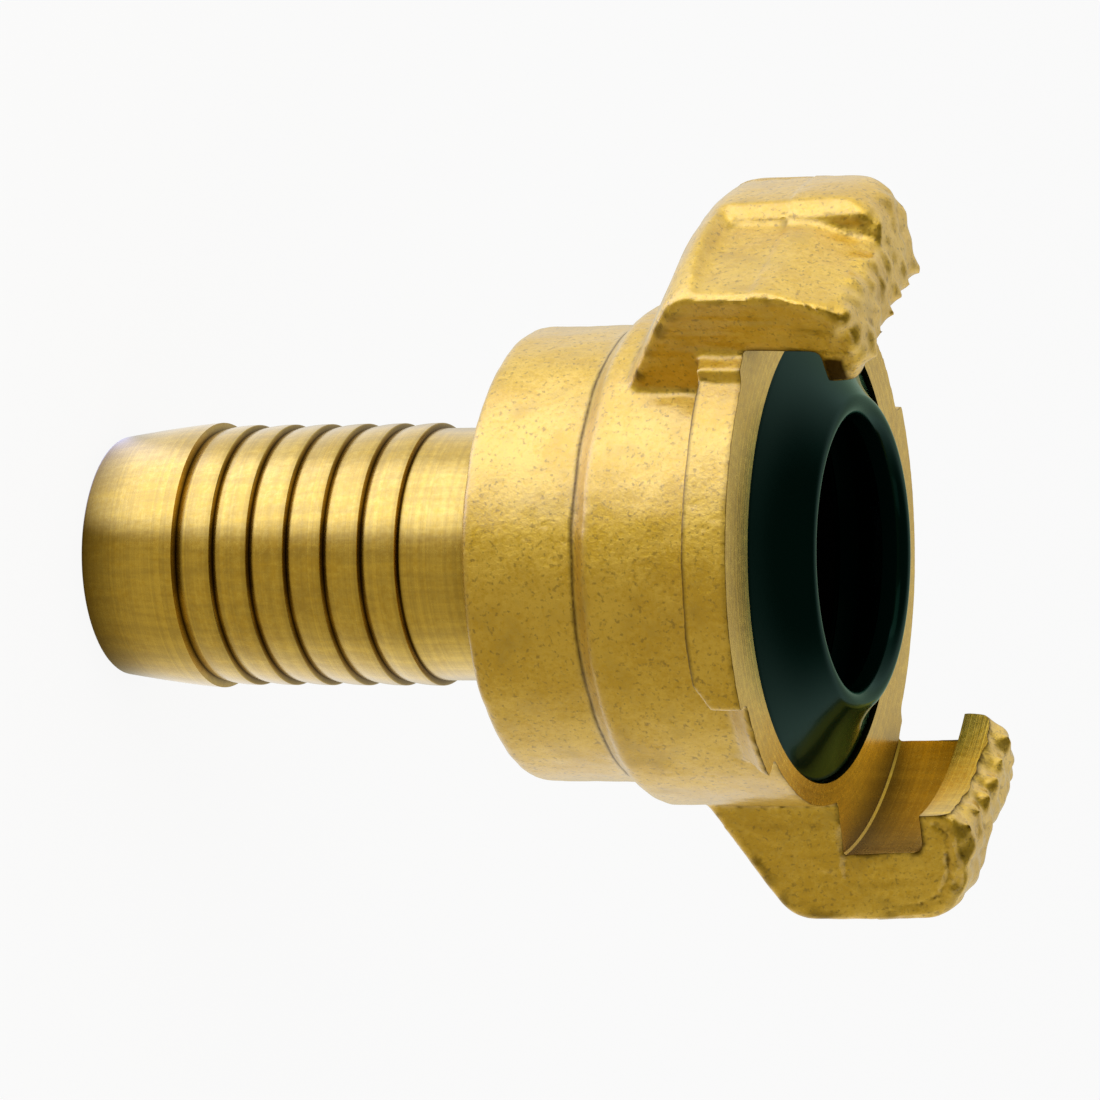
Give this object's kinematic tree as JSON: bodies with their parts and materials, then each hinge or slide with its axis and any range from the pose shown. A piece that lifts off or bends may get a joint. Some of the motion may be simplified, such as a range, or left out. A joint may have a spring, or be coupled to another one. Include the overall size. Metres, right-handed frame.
{
  "type": "claw hose coupling half with hose tail",
  "caption": "Brass quick coupling half with hooked claws, quarter-turn cams, black rubber face seal and barbed hose tail.",
  "frame": {"origin": "centre of the hose tail's flat end, which it stands on", "axes": "+Z along the coupling's axis from the hose tail to the claws; the claws are centred on +X and -X"},
  "size_m": [0.056, 0.0436, 0.0659],
  "materials": {
    "forged_brass": "forged head with turned tail, face and hooks",
    "black_rubber": "smooth moulded"
  },
  "bodies": {
    "root": {"coupling_body": "forged_brass", "face_seal": "black_rubber"}
  },
  "joints": []
}
